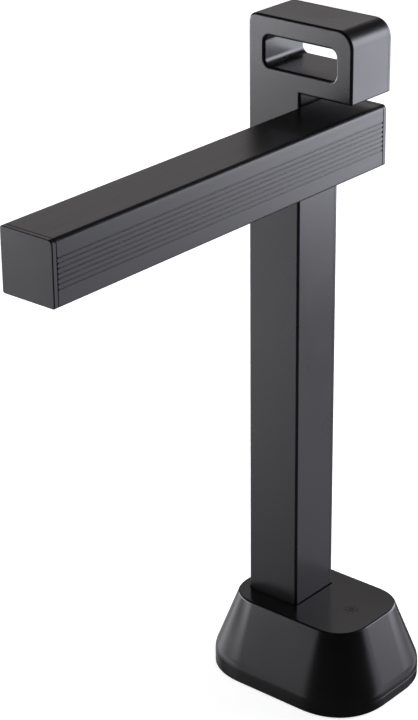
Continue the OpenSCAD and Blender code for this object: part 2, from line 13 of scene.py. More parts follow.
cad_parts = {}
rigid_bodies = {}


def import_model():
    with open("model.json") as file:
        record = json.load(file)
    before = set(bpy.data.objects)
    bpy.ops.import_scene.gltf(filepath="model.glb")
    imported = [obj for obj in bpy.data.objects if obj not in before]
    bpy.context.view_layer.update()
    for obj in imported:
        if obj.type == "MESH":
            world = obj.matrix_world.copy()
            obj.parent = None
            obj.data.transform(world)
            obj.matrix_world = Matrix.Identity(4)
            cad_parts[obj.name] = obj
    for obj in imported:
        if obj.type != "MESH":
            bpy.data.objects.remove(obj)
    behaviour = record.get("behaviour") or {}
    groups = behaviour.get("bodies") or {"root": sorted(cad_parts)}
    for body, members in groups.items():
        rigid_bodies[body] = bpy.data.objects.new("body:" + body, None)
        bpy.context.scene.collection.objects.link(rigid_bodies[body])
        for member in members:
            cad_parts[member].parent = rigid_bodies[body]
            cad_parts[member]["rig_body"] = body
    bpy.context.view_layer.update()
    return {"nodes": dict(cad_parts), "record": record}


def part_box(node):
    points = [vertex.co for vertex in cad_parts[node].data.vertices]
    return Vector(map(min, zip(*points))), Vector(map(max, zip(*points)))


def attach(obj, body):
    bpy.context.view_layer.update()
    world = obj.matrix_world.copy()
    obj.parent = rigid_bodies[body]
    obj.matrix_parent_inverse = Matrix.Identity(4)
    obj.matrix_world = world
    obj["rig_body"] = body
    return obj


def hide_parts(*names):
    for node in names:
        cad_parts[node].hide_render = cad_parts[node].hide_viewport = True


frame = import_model()

MM = 0.001
RECORD = frame["record"]
SLOT_COLOUR = {m["slot"]: tuple(m["base_color"][:3]) for m in RECORD["materials"]}
ARC_STEPS = 10
FILLET_STEPS = 6
SHARP_ANGLE = math.radians(34)
CUT_PAST = 1  # how far a cutter runs past the face that it opens
TURNS = {"X": Matrix.Rotation(math.radians(90), 4, "Y"),
         "Y": Matrix.Rotation(math.radians(-90), 4, "X"),
         "Z": Matrix.Identity(4),
         "-Z": Matrix.Rotation(math.radians(180), 4, "X")}


# ---------------------------------------------------------------- places from the frame

def box(node):
    """Lowest and highest corner of a CAD node, in millimetres."""
    low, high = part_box(node)
    return low / MM, high / MM


def centre(node):
    """The middle of a CAD node's box, in millimetres."""
    low, high = box(node)
    return (low + high) / 2


COLUMN_LOW, COLUMN_HIGH = box("column_shell")
REAR_LOW, REAR_HIGH = box("column_rear_cover")
ARM_LOW, ARM_HIGH = box("arm_housing")
ARM_FRONT_Y = box("arm_front_cap")[0].y
ARM_TAIL_Y = box("arm_rear_cap")[1].y
FOOT_LOW, FOOT_HIGH = box("base_shell")
COVER_LOW, COVER_HIGH = box("base_cover")
PAD_LOW, PAD_HIGH = box("rubber_pad")
COLUMN_RIGHT = box("column_foot")[1].x
COLUMN_X = (COLUMN_LOW.x + COLUMN_RIGHT) / 2
HINGE_Z = centre("hinge_nut").z
ARM_X = (ARM_LOW.x + ARM_HIGH.x) / 2

# Sizes of the design that no box gives: the column, its head and the handle's slot
WALL = 2.2
ROOT = 0.4  # how far a boss or tube is rooted in the wall it grows from
HEAD_HEIGHT = 34.4
HEAD_LEFT_R = 4.5
HEAD_RIGHT_R = 8.6
HEAD_LOW_R = 1
SLOT_SIZE = (41.6, 14.8)
SLOT_R = 3.4
SLOT_CENTRE = (-1.9, COLUMN_HIGH.z - 17.15)
SLOT_TUBE = 2
EDGE_R = 1.3
SLOT_EDGE_R = 1.4
SEAM = 0.1
REAR_COVER_T = 2.5
HINGE_BORE_R = 7.3

# The foot: width, depth and corner radius of its flat top and of its skirt
FOOT_TOP_SIZE = (77.8, 54, 17)
FOOT_SKIRT_SIZE = (101, 78, 28)
SKIRT_TOP = 10
FLARE_TOP = 41.2
FOOT_SEAM = 0.12
COVER_INSET = WALL + 0.2
COVER_FLOOR_TOP = 4.4
SOCKET_GAP = 0.4
BOSS_PLACES = [(x, y) for x in (-30, 30) for y in (-19.5, 19.5)]
PORT_SIZE = (12.8, 7.1)
PORT_FACE_Y = 30
PORT_BEZEL = 1.3

# The arm
ARM_WALL = 1.8
ARM_TOP_R = 2.5
ARM_EDGE_R = 1.1
CAP_EDGE_R = 0.45
CAP_SEAM = 0.25
GROOVES = 7
GROOVE_PITCH = 2.26
GROOVE_WIDTH = 0.7
GROOVE_DEPTH = 0.21
GROOVE_STEPS = 8
SHAFT_BORE_R = 5.3


# ---------------------------------------------------------------- outlines

def arc(cx, cy, r, start, end, steps=ARC_STEPS):
    """Points of an arc from one angle to another, in degrees."""
    angles = [math.radians(start + (end - start) * i / steps) for i in range(steps + 1)]
    return [(cx + r * math.cos(a), cy + r * math.sin(a)) for a in angles]


def round_rect(w, d, r, cx=0.0, cy=0.0, steps=ARC_STEPS):
    """A rectangle with round corners, counter-clockwise."""
    x, y = w / 2 - r, d / 2 - r
    corners = [(x, y, 0), (-x, y, 90), (-x, -y, 180), (x, -y, 270)]
    return [p for ax, ay, a in corners for p in arc(cx + ax, cy + ay, r, a, a + 90, steps)]


def soft_rect(w, d, r, steps=24):
    """A rectangle whose round corners bend in gradually, counter-clockwise.

    Each corner is a curve of the fourth order with no curvature at its ends, and passes
    through the middle of the arc of radius r.
    """
    reach, hold = 1.1 * r, 0.815
    # Each corner: its sides in x and y, then the directions back and ahead along the outline
    corners = [(1, 1, (0, -1), (-1, 0)), (-1, 1, (1, 0), (0, -1)),
               (-1, -1, (0, 1), (1, 0)), (1, -1, (-1, 0), (0, 1))]
    points = []
    for side_x, side_y, back, ahead in corners:
        for i in range(steps + 1):
            t = i / steps
            u = 1 - t
            pull_back = reach * (u ** 4 + 4 * hold * u ** 3 * t)
            pull_ahead = reach * (t ** 4 + 4 * hold * t ** 3 * u)
            points.append((side_x * w / 2 + back[0] * pull_back + ahead[0] * pull_ahead,
                           side_y * d / 2 + back[1] * pull_back + ahead[1] * pull_ahead))
    return points


def head_outline(inset):
    """The column and head seen from the front, drawn in by inset all round but at the base."""
    left, right, top = COLUMN_LOW.x, COLUMN_HIGH.x, COLUMN_HIGH.z
    notch = top - HEAD_HEIGHT
    low_r = max(HEAD_LOW_R, inset)
    least_r = 0.02
    return [
        (left + inset, COLUMN_LOW.z),
        (COLUMN_RIGHT - inset, COLUMN_LOW.z),
        (COLUMN_RIGHT - inset, notch + inset),
        *arc(right - low_r, notch + low_r, max(low_r - inset, least_r), -90, 0),
        *arc(right - HEAD_RIGHT_R, top - HEAD_RIGHT_R, HEAD_RIGHT_R - inset, 0, 90),
        *arc(left + HEAD_LEFT_R, top - HEAD_LEFT_R, HEAD_LEFT_R - inset, 90, 180),
    ]


def slot_outline(grow):
    """The handle's slot seen from the front, widened by grow all round."""
    w, h = SLOT_SIZE
    return round_rect(w + 2 * grow, h + 2 * grow, SLOT_R + grow, *SLOT_CENTRE)


def side_groove(face_x, inward, z):
    """One lengthwise groove in the arm's side, from its lower lip to its upper lip."""
    points = []
    for i in range(GROOVE_STEPS + 1):
        t = i / GROOVE_STEPS
        depth = GROOVE_DEPTH * math.sin(math.pi * t) ** 0.8
        points.append((face_x + inward * depth, z + GROOVE_WIDTH * (t - 0.5)))
    return points


def groove_heights():
    """The height of each groove's middle line, from low to high."""
    middle = (ARM_LOW.z + ARM_HIGH.z) / 2
    return [middle + (i - (GROOVES - 1) / 2) * GROOVE_PITCH for i in range(GROOVES)]


def arm_section(inset, grooved):
    """The arm's outer section, counter-clockwise from its lower left corner's top."""
    left, right = ARM_LOW.x + inset, ARM_HIGH.x - inset
    low, top = ARM_LOW.z + inset, ARM_HIGH.z - inset
    least_r = 0.15
    r, top_r = (max(size - inset, least_r) for size in (ARM_EDGE_R, ARM_TOP_R))
    points = arc(left + r, low + r, r, 180, 270) + arc(right - r, low + r, r, 270, 360)
    if grooved:
        points += [p for z in groove_heights() for p in side_groove(right, -1, z)]
    points += arc(right - top_r, top - top_r, top_r, 0, 90) + arc(left + r, top - r, r, 90, 180)
    if grooved:
        points += [p for z in reversed(groove_heights())
                   for p in reversed(side_groove(left, 1, z))]
    return points


def channel_section(inset):
    """The housing's U section: the outer line, then the inner line back round."""
    outer = arm_section(inset, True)
    split = ARC_STEPS + 1
    left, right = ARM_LOW.x + ARM_WALL, ARM_HIGH.x - ARM_WALL
    low, top = ARM_LOW.z + inset, ARM_HIGH.z - ARM_WALL
    inner = [(left, low), (left, top), (right, top), (right, low)]
    return outer[split:] + outer[:split] + inner


# ---------------------------------------------------------------- solids

def along_y(points, y):
    return [(x, y, z) for x, z in points]


def along_z(points, z):
    return [(x, y, z) for x, y in points]


def loft(rings):
    """A closed solid through rings of equal count, with a flat face at each end."""
    bm = bmesh.new()
    rows = [[bm.verts.new(p) for p in ring] for ring in rings]
    for a, b in zip(rows, rows[1:]):
        for i in range(len(a)):
            j = (i + 1) % len(a)
            bm.faces.new((a[i], a[j], b[j], b[i]))
    bm.faces.new(rows[0][::-1])
    bm.faces.new(rows[-1])
    bmesh.ops.recalc_face_normals(bm, faces=bm.faces)
    return bm


def prism_y(outline, near, far):
    return loft([along_y(outline, near), along_y(outline, far)])


def prism_z(outline, low, high):
    return loft([along_z(outline, low), along_z(outline, high)])


def block(low, high):
    outline = [(low[0], low[1]), (high[0], low[1]), (high[0], high[1]), (low[0], high[1])]
    return prism_z(outline, low[2], high[2])


def placed(bm, at, axis="Z"):
    """Turns a solid's own Z to look along axis, then moves it from the origin to at."""
    bm.transform(Matrix.Translation(at) @ TURNS[axis])
    return bm


def lathe(profile, at, axis="Z", steps=48):
    """A solid turned from (radius, height) points that run outside from end to end."""
    rings = [[(r * math.cos(2 * math.pi * i / steps), r * math.sin(2 * math.pi * i / steps), h)
              for i in range(steps)] for r, h in profile]
    return placed(loft(rings), at, axis)


def rod(r, length, at, axis="Z", steps=48):
    return lathe([(r, 0), (r, length)], at, axis, steps)


def merged(parts):
    """Several separate solids as one mesh."""
    bm = bmesh.new()
    for part in parts:
        spare = bpy.data.meshes.new("spare")
        part.to_mesh(spare)
        bm.from_mesh(spare)
        bpy.data.meshes.remove(spare)
        part.free()
    return bm


def fillet(r, steps=FILLET_STEPS):
    """(inset, depth) pairs of a convex quarter round, from the face inwards."""
    angles = [math.pi / 2 * i / steps for i in range(steps + 1)]
    return [(r * (1 - math.sin(a)), r * (1 - math.cos(a))) for a in angles]


def bezier(a, b, c, steps):
    """A quadratic curve between a and c with b as its corner."""
    found = []
    for i in range(steps + 1):
        t = i / steps
        found.append(tuple((1 - t) ** 2 * p + 2 * t * (1 - t) * q + t * t * s
                           for p, q, s in zip(a, b, c)))
    return found


def linked(name, data):
    """A new object in the scene that holds a mesh or a camera."""
    obj = bpy.data.objects.new(name, data)
    bpy.context.scene.collection.objects.link(obj)
    return obj


def as_object(bm, name):
    """Makes a solid in millimetres into an object in metres."""
    mesh = bpy.data.meshes.new(name)
    bm.transform(Matrix.Scale(MM, 4))
    bm.to_mesh(mesh)
    bm.free()
    return linked(name, mesh)


def combine(obj, bm, operation):
    """Cuts or joins a solid into obj, exactly, and leaves plain mesh."""
    other = as_object(bm, "tool")
    modifier = obj.modifiers.new("combine", "BOOLEAN")
    modifier.operation = operation
    modifier.solver = "EXACT"
    modifier.object = other
    graph = bpy.context.evaluated_depsgraph_get()
    result = bpy.data.meshes.new_from_object(obj.evaluated_get(graph))
    obj.modifiers.clear()
    spent = obj.data
    obj.data = result
    result.name = spent.name
    bpy.data.meshes.remove(spent)
    mesh = other.data
    bpy.data.objects.remove(other)
    bpy.data.meshes.remove(mesh)
    return obj


def cut(obj, *solids):
    for bm in solids:
        combine(obj, bm, "DIFFERENCE")
    return obj


def add(obj, *solids):
    for bm in solids:
        combine(obj, bm, "UNION")
    return obj


def tidy_mesh(obj):
    """Clears slivers, then shades smooth with sharp edges and flat faces kept flat."""
    sliver = 1e-7
    bm = bmesh.new()
    bm.from_mesh(obj.data)
    bmesh.ops.remove_doubles(bm, verts=bm.verts, dist=sliver)
    bmesh.ops.dissolve_degenerate(bm, edges=bm.edges, dist=sliver)
    bm.to_mesh(obj.data)
    bm.free()
    obj.data.shade_smooth()
    obj.data.set_sharp_from_angle(angle=SHARP_ANGLE)
    normals = obj.modifiers.new("normals", "WEIGHTED_NORMAL")
    normals.keep_sharp = True
    normals.weight = 80


def stand_for(obj, material, slot, *nodes):
    """obj takes the place of CAD nodes on one body, with a finish and a material slot. The slot
    argument is not used.
    """
    tidy_mesh(obj)
    obj.data.materials.clear()
    obj.data.materials.append(material)
    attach(obj, frame["nodes"][nodes[0]]["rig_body"])
    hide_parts(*nodes)
    return obj


# ---------------------------------------------------------------- materials

class Graph:
    """A small helper that adds and links shader nodes."""

    def __init__(self, name):
        self.material = bpy.data.materials.new(name)
        self.material.use_nodes = True
        self.tree = self.material.node_tree
        self.shader = self.tree.nodes["Principled BSDF"]
        self.coords = self.tree.nodes.new("ShaderNodeTexCoord").outputs["Object"]

    def node(self, kind, **values):
        made = self.tree.nodes.new(kind)
        for key, value in values.items():
            setattr(made, key, value)
        return made

    def link(self, output, socket):
        self.tree.links.new(output, socket)

    def scaled(self, scale):
        mapping = self.node("ShaderNodeMapping")
        mapping.inputs["Scale"].default_value = scale
        self.link(self.coords, mapping.inputs["Vector"])
        return mapping.outputs["Vector"]

    def noise(self, scale, detail=2.0, stretch=(1, 1, 1)):
        found = self.node("ShaderNodeTexNoise")
        found.inputs["Scale"].default_value = scale
        found.inputs["Detail"].default_value = detail
        self.link(self.scaled(stretch), found.inputs["Vector"])
        return found.outputs["Fac"]

    def span(self, value, low, high, start=0.35, end=0.65):
        """Spreads a texture's middle range over low to high."""
        found = self.node("ShaderNodeMapRange")
        for key, number in (("From Min", start), ("From Max", end), ("To Min", low),
                            ("To Max", high)):
            found.inputs[key].default_value = number
        self.link(value, found.inputs["Value"])
        return found.outputs["Result"]

    def tint(self, value, dark, light):
        """A colour between two, by a texture."""
        ramp = self.node("ShaderNodeValToRGB")
        ramp.color_ramp.elements[0].position = 0.3
        ramp.color_ramp.elements[0].color = (*dark, 1)
        ramp.color_ramp.elements[1].position = 0.7
        ramp.color_ramp.elements[1].color = (*light, 1)
        self.link(value, ramp.inputs["Fac"])
        self.link(ramp.outputs["Color"], self.shader.inputs["Base Color"])

    def roughness(self, value, low, high):
        self.link(self.span(value, low, high), self.shader.inputs["Roughness"])

    def bump(self, height, depth, strength, under=None):
        found = self.node("ShaderNodeBump")
        found.inputs["Distance"].default_value = depth
        found.inputs["Strength"].default_value = strength
        self.link(height, found.inputs["Height"])
        if under is not None:
            self.link(under, found.inputs["Normal"])
        self.link(found.outputs["Normal"], self.shader.inputs["Normal"])
        return found.outputs["Normal"]

    def set(self, **values):
        names = {"ior": "IOR", "specular": "Specular IOR Level", "metallic": "Metallic",
                 "coat": "Coat Weight", "coat_rough": "Coat Roughness",
                 "glass": "Transmission Weight", "glow": "Emission Strength",
                 "scatter": "Subsurface Weight"}
        for key, value in values.items():
            self.shader.inputs[names[key]].default_value = value


def shades(colour, spread):
    """A darker and a lighter colour round one, each by a share of it."""
    return ([c * (1 - spread) for c in colour], [min(1, c * (1 + spread)) for c in colour])


def satin_plastic(name, colour, low, high, grain=1100, spread=0.18, specular=0.5):
    """Spark-eroded satin plastic: fine grain over broad faint patches."""
    g = Graph(name)
    patches = g.noise(38, 1)
    g.tint(patches, *shades(colour, spread))
    g.roughness(patches, low, high)
    ripple = g.bump(g.noise(170, 1), 0.00002, 0.06)
    g.bump(g.noise(grain, 2), 0.00002, 0.05, ripple)
    g.set(specular=specular)
    return g.material


def anodised(name, colour, low, high):
    """Painted extrusion: satin grain with faint die lines along the arm."""
    g = Graph(name)
    lines = g.noise(900, 3, (1, 0.012, 1))
    g.tint(g.noise(30, 4), *shades(colour, 0.15))
    g.roughness(lines, low, high)
    die = g.bump(lines, 0.000008, 0.05)
    g.bump(g.noise(3000, 2), 0.00002, 0.16, die)
    return g.material


def rubber(name, colour):
    g = Graph(name)
    g.tint(g.noise(90, 5), *shades(colour, 0.35))
    g.roughness(g.noise(60, 4), 0.75, 0.92)
    g.bump(g.noise(1400, 4), 0.00008, 0.6)
    g.set(specular=0.25)
    return g.material


def cast_metal(name, colour):
    g = Graph(name)
    g.tint(g.noise(260, 6), *shades(colour, 0.35))
    g.roughness(g.noise(120, 5), 0.5, 0.75)
    g.bump(g.noise(700, 5), 0.0002, 0.5)
    g.set(metallic=0.7)
    return g.material


def bright_metal(name, colour, low=0.22, high=0.38):
    g = Graph(name)
    brushed = g.noise(1500, 3, (1, 0.08, 1))
    g.tint(g.noise(200, 3), *shades(colour, 0.12))
    g.roughness(brushed, low, high)
    g.bump(brushed, 0.00001, 0.25)
    g.set(metallic=1.0)
    return g.material


def circuit_board(name, colour):
    """Solder mask with faint tracks under it."""
    g = Graph(name)
    tracks = g.node("ShaderNodeTexVoronoi", distance="CHEBYCHEV")
    tracks.inputs["Scale"].default_value = 420
    g.link(g.scaled((1, 1, 1)), tracks.inputs["Vector"])
    g.tint(tracks.outputs["Distance"], *shades(colour, 0.4))
    g.roughness(g.noise(300, 3), 0.28, 0.42)
    g.bump(tracks.outputs["Distance"], 0.00003, 0.3)
    return g.material


def moulded(name, colour, low=0.4, high=0.55):
    g = Graph(name)
    g.tint(g.noise(120, 4), *shades(colour, 0.1))
    g.roughness(g.noise(80, 3), low, high)
    g.bump(g.noise(1800, 3), 0.00002, 0.25)
    return g.material


def diffuser(name, colour):
    g = Graph(name)
    g.tint(g.noise(60, 3), *shades(colour, 0.05))
    g.roughness(g.noise(150, 3), 0.3, 0.4)
    g.bump(g.noise(2400, 2), 0.00003, 0.3)
    g.set(scatter=0.4)
    g.shader.inputs["Subsurface Radius"].default_value = (0.002, 0.002, 0.002)
    return g.material


def clear_glass(name, colour, low, high):
    g = Graph(name)
    g.tint(g.noise(40, 3), *shades(colour, 0.1))
    g.roughness(g.noise(60, 4), low, high)
    g.set(glass=0.9, ior=1.5)
    return g.material


MATERIALS = {
    "satin_plastic": satin_plastic("satin_plastic", (0.0042, 0.0042, 0.0046), 0.27, 0.31),
    "foot_plastic": satin_plastic("foot_plastic", (0.0032, 0.0031, 0.0033), 0.2, 0.24, 2000,
                                  specular=0.37),
    "anodised": anodised("anodised", (0.0045, 0.0045, 0.005), 0.285, 0.315),
    "rubber": rubber("rubber", SLOT_COLOUR["rubber"]),
    "cast_iron": cast_metal("cast_iron", SLOT_COLOUR["cast_iron"]),
    "steel": bright_metal("steel", SLOT_COLOUR["steel"]),
    "dark_screws": bright_metal("dark_screws", (0.05, 0.05, 0.052), 0.3, 0.42),
    "board": circuit_board("board", SLOT_COLOUR["board"]),
    "white_board": circuit_board("white_board", SLOT_COLOUR["white_board"]),
    "chips": moulded("chips", SLOT_COLOUR["chips"]),
    "pale_plastic": moulded("pale_plastic", SLOT_COLOUR["pale_plastic"]),
    "cable": rubber("cable", SLOT_COLOUR["cable"]),
    "print": moulded("print", (0.0012, 0.0012, 0.0013), 0.5, 0.6),
    "flex": moulded("flex", SLOT_COLOUR["flex"], 0.25, 0.35),
    "led": moulded("led", SLOT_COLOUR["led"], 0.15, 0.25),
    "diffuser": diffuser("diffuser", SLOT_COLOUR["diffuser"]),
    "window": clear_glass("window", (0.35, 0.37, 0.4), 0.02, 0.05),
    "lens": clear_glass("lens", (0.45, 0.5, 0.75), 0.01, 0.03),
}
NODE_SLOTS = {
    "cast_iron": ["ballast_plate"],
    "steel": ["base_screws", "board_screws", "column_foot", "foot_screws", "spine_screws",
              "column_spine", "stop_pins", "hinge_shaft", "stop_washer", "disc_springs",
              "hinge_nut", "hinge_screws", "camera_screws"],
    "board": ["main_board", "touch_board", "sensor_board", "processor_board"],
    "white_board": ["lamp_board"],
    "chips": ["board_parts", "processor_parts", "image_sensor", "lens_holder",
              "camera_bracket"],
    "pale_plastic": ["board_spacers", "hinge_bush"],
    "cable": ["touch_lead", "column_cable", "arm_cable"],
    "flex": ["sensor_flex"],
    "led": ["lamp_leds"],
    "lens": ["lens_glass"],
    "satin_plastic": ["thrust_washer", "friction_washer"],
}


def finish_cad_nodes():
    """Gives every CAD node that stays its procedural material."""
    for slot, nodes in NODE_SLOTS.items():
        for node in nodes:
            mesh = frame["nodes"][node].data
            mesh.materials.clear()
            mesh.materials.append(MATERIALS[slot])


# ---------------------------------------------------------------- screws

RECESS_SHARE = 0.7  # the recess's depth as a share of the head's height


def cross_recess(r, depth, at, axis):
    """The cutter of a cross recess in the head, of radius r, of a screw."""
    wide, thin, taper, above = r * 0.62, r * 0.17, 0.35, 0.5
    cross = [(wide, thin), (thin, thin), (thin, wide), (-thin, wide), (-thin, thin),
             (-wide, thin), (-wide, -thin), (-thin, -thin), (-thin, -wide), (thin, -wide),
             (thin, -thin), (wide, -thin)]
    tip = [(x * taper, y * taper) for x, y in cross]
    return placed(loft([along_z(cross, above), along_z(cross, 0), along_z(tip, -depth)]), at, axis)


def screw(face, axis, head_r, head_h, shank_r, length):
    """A pan-head screw whose head's top is at face and looks along axis."""
    dome_h, dome_steps, flat_r, tip_r = 0.4 * head_h, 6, head_r * 0.12, shank_r * 0.5
    dome = [(head_r * math.cos(a), -dome_h + dome_h * math.sin(a))
            for a in [math.pi / 2 * i / dome_steps for i in range(dome_steps)]]
    profile = [(tip_r, -length), (shank_r, -length + shank_r), (shank_r, -head_h),
               (head_r, -head_h), *dome, (flat_r, 0)]
    return lathe(profile, face, axis, 36)


def screw_set(name, places, axis, node):
    """One piece of several screws that look along axis.

    Each place is (point, head radius, head height, shank radius, length).
    """
    made = as_object(merged([screw(p, axis, hr, hh, sr, ln) for p, hr, hh, sr, ln in places]),
                     name)
    for p, hr, hh, _, _ in places:
        cut(made, cross_recess(hr, hh * RECESS_SHARE, p, axis))
    return stand_for(made, MATERIALS["dark_screws"], "dark_screws", node)


# ---------------------------------------------------------------- column

WEB_SCREW_X = centre("column_spine").x
WEB_SCREW_Z = (70, 160, 250)
WEB_BOSS_R = 3.5
HEAD_BOSS_R = 2.2
PILOT_R = 1
# (radius, height) points of the rear cover's two kinds of screw bore, from inside it
# outwards, and the height at which its outer face lies
WEB_BORE = [(1.6, 0), (1.6, 4.6), (2.9, 4.6), (2.9, 5.85), (3.1, 6.1), (3.1, 8)]
WEB_BORE_FACE = 6.1
HEAD_BORE = [(1.1, 0), (1.1, 2.3), (2.1, 2.3), (2.1, 3.3), (2.3, 3.5), (2.3, 5)]
HEAD_BORE_FACE = 3.5
HEAD_SCREWS = [((COLUMN_HIGH.x - WALL + SLOT_CENTRE[0] + SLOT_SIZE[0] / 2 + SLOT_TUBE) / 2,
                SLOT_CENTRE[1]),
               (COLUMN_X, SLOT_CENTRE[1] - SLOT_SIZE[1] / 2 - SLOT_TUBE - 2)]


def slot_cutter(y_near, y_far, round_near, round_far):
    """The slot's bore, flaring to a rounded rim at the ends that ask for one."""
    rings = []
    if round_near:
        rings.append(along_y(slot_outline(SLOT_EDGE_R), y_near - CUT_PAST))
        rings += [along_y(slot_outline(i), y_near + d) for i, d in fillet(SLOT_EDGE_R)]
    else:
        rings.append(along_y(slot_outline(0), y_near - CUT_PAST))
    if round_far:
        rings += [along_y(slot_outline(i), y_far - d)
                  for i, d in reversed(fillet(SLOT_EDGE_R))]
        rings.append(along_y(slot_outline(SLOT_EDGE_R), y_far + CUT_PAST))
    else:
        rings.append(along_y(slot_outline(0), y_far + CUT_PAST))
    return loft(rings)


def make_column_shell():
    """The hollow column and head, open at the back, with the slot's tube and screw bosses."""
    near, far = COLUMN_LOW.y, COLUMN_HIGH.y
    rings = [along_y(head_outline(i), near + d) for i, d in fillet(EDGE_R)]
    rings += [along_y(head_outline(0), far - SEAM), along_y(head_outline(SEAM), far)]
    shell = as_object(loft(rings), "column_shell_skin")
    cavity = [(x, z if z > COLUMN_LOW.z else z - CUT_PAST) for x, z in head_outline(WALL)]
    cut(shell, prism_y(cavity, near + WALL, far + CUT_PAST))
    root = near + WALL - ROOT
    add(shell, prism_y(slot_outline(SLOT_TUBE), root, far))
    for x, z in HEAD_SCREWS:
        add(shell, rod(HEAD_BOSS_R, far - root, (x, root, z), "Y", 24))
    cut(shell, slot_cutter(near, far, True, False))
    bore_start, bore_length = 4, 6
    cut(shell, rod(HINGE_BORE_R, bore_length, (COLUMN_RIGHT - bore_start, 0, HINGE_Z), "X"))
    pilot_y, pilot_length = 2, 14
    for x, z in HEAD_SCREWS:
        cut(shell, rod(PILOT_R, pilot_length, (x, pilot_y, z), "Y", 20))
    return stand_for(shell, MATERIALS["satin_plastic"], "satin_plastic", "column_shell")


def make_rear_cover():
    """The plate that closes the column's back, with a boss behind each web screw."""
    near, far = REAR_HIGH.y - REAR_COVER_T, REAR_HIGH.y
    rings = [along_y(head_outline(SEAM), near), along_y(head_outline(0), near + SEAM)]
    rings += [along_y(head_outline(i), far - d) for i, d in reversed(fillet(EDGE_R))]
    cover = as_object(loft(rings), "column_rear_skin")
    boss_length = 4
    for z in WEB_SCREW_Z:
        add(cover, rod(WEB_BOSS_R, boss_length, (WEB_SCREW_X, REAR_LOW.y, z), "Y", 32))
    cut(cover, slot_cutter(near, far, False, True))
    for z in WEB_SCREW_Z:
        cut(cover, lathe(WEB_BORE, (WEB_SCREW_X, far - WEB_BORE_FACE, z), "Y", 40))
    for x, z in HEAD_SCREWS:
        cut(cover, lathe(HEAD_BORE, (x, far - HEAD_BORE_FACE, z), "Y", 40))
    return stand_for(cover, MATERIALS["satin_plastic"], "satin_plastic", "column_rear_cover")


def make_rear_screws():
    sunk, tip_y = 0.1, 4
    y = REAR_HIGH.y - sunk
    places = [((WEB_SCREW_X, y, z), 2.6, 1.4, 1.5, y - tip_y) for z in WEB_SCREW_Z]
    places += [((x, y, z), 1.9, 1.1, 1, y - tip_y) for x, z in HEAD_SCREWS]
    return screw_set("rear_cover_screw_set", places, "Y", "rear_cover_screws")


# ---------------------------------------------------------------- arm

COVER_T = 2
COVER_TOP = box("arm_bottom_cover")[0].z + COVER_T
COVER_SCREWS = [(x, y) for x in (3.6, 23.6) for y in (-200, -30)]
POST_PLACES = [(x, y) for x in (5.5, 21.7) for y in (-108, -50)]
POST_R = 0.9
LAMP_MOUTH_W = 12
LAMP_LENS_W = 11.8
# (radius, height) points of the seats in the bottom cover, above its outer face
WINDOW_SEAT = [(8.5, -1), (8.5, 0), (8, 0.5), (8, 1.2), (6.6, 1.2), (6.6, 3.5)]
COVER_BORE = [(2.4, -1), (2.4, 0), (2.1, 0.3), (2.1, 1.1), (1.1, 1.1), (1.1, 3)]


def groove_mouths(y, inward):
    """The cutter of the small dark mouths where the grooves end at a cap."""
    deep, tall, length = 0.6, 1.05, 0.75
    ends = sorted((y - inward, y + inward * length))
    return merged([block((x - deep, ends[0], z - tall / 2), (x + deep, ends[1], z + tall / 2))
                   for z in groove_heights() for x in (ARM_LOW.x, ARM_HIGH.x)])


def make_arm_housing():
    """The grooved channel that is the arm's top and sides, with the bottom cover's posts."""
    near, far = ARM_LOW.y, ARM_HIGH.y
    rings = [along_y(channel_section(CAP_SEAM), near),
             along_y(channel_section(0), near + CAP_SEAM),
             along_y(channel_section(0), far - CAP_SEAM),
             along_y(channel_section(CAP_SEAM), far)]
    housing = as_object(loft(rings), "arm_housing_skin")
    cut(housing, groove_mouths(near, 1), groove_mouths(far, -1))
    half_w, half_d, play, tall = 2.9, 3, 0.1, 7
    for x, y in COVER_SCREWS:
        add(housing, block((x - half_w, y - half_d, COVER_TOP + play),
                           (x + half_w, y + half_d, COVER_TOP + tall)))
        cut(housing, rod(PILOT_R, tall, (x, y, COVER_TOP - CUT_PAST), "Z", 20))
    bore_start, bore_length = 1.5, 5
    cut(housing, rod(SHAFT_BORE_R, bore_length, (ARM_LOW.x - bore_start, 0, HINGE_Z), "X"))
    return stand_for(housing, MATERIALS["anodised"], "anodised", "arm_housing")


def make_cap(name, node, outer_y, inner_y):
    """An end cap: round at its outer edges, with a fine step at the housing."""
    sign = 1 if inner_y > outer_y else -1
    rings = [along_y(arm_section(i, False), outer_y + sign * d) for i, d in fillet(CAP_EDGE_R)]
    rings += [along_y(arm_section(0, False), inner_y - sign * CAP_SEAM),
              along_y(arm_section(CAP_SEAM, False), inner_y)]
    cap = as_object(loft(rings), name)
    root, reach, half_w, thick, play = 0.5, 5, 7, 1.4, 0.1
    tongue = sorted((inner_y - sign * root, inner_y + sign * reach))
    top = ARM_HIGH.z - ARM_WALL - play
    add(cap, block((ARM_X - half_w, tongue[0], top - thick), (ARM_X + half_w, tongue[1], top)))
    return stand_for(cap, MATERIALS["satin_plastic"], "satin_plastic", node)


